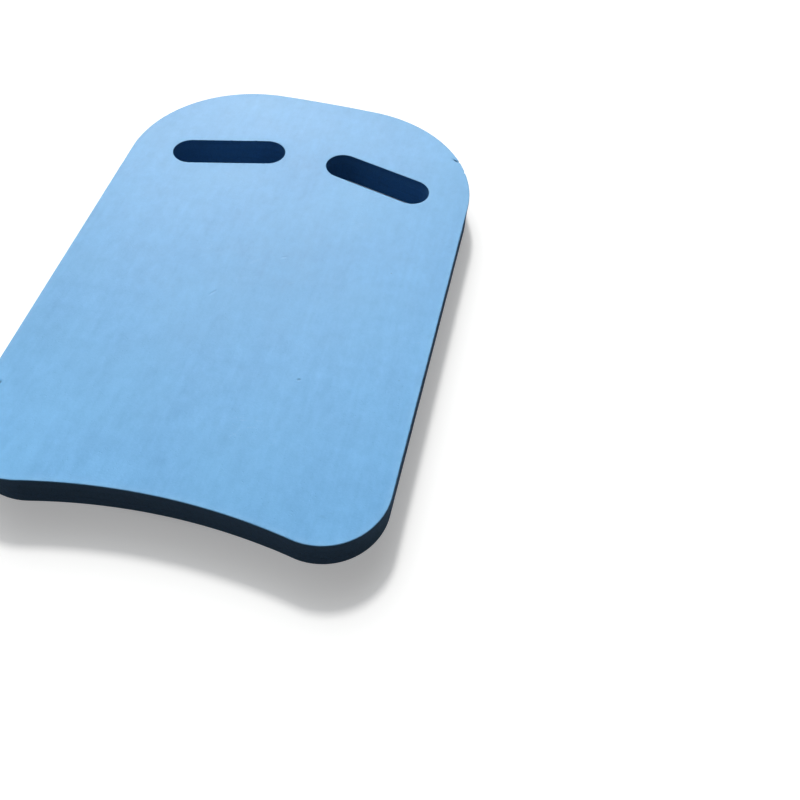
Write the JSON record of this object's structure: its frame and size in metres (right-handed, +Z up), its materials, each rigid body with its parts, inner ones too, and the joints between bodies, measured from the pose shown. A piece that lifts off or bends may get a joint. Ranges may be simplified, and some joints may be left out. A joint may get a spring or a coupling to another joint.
{
  "type": "kickboard float",
  "caption": "Flat foam kickboard float with a bowed front edge, rounded corners, an arched tail and two tilted round-ended hand slots, laminated from foam sheets.",
  "frame": {"origin": "centre of the bottom face's bounding rectangle, so the board rests on z = 0 with its length and width centred", "axes": "+Z up from the bottom face to the top face, +Y along the board from the arched tail to the bowed front edge with the hand slots, +X across the board to the right as seen from above with the front edge away"},
  "size_m": [0.305, 0.45, 0.0285],
  "materials": {
    "top_foam": "matte",
    "core_foam": "matte",
    "bottom_foam": "matte"
  },
  "bodies": {
    "root": {"top_sheet": "top_foam", "core_sheet": "core_foam", "bottom_sheet": "bottom_foam"}
  },
  "joints": []
}
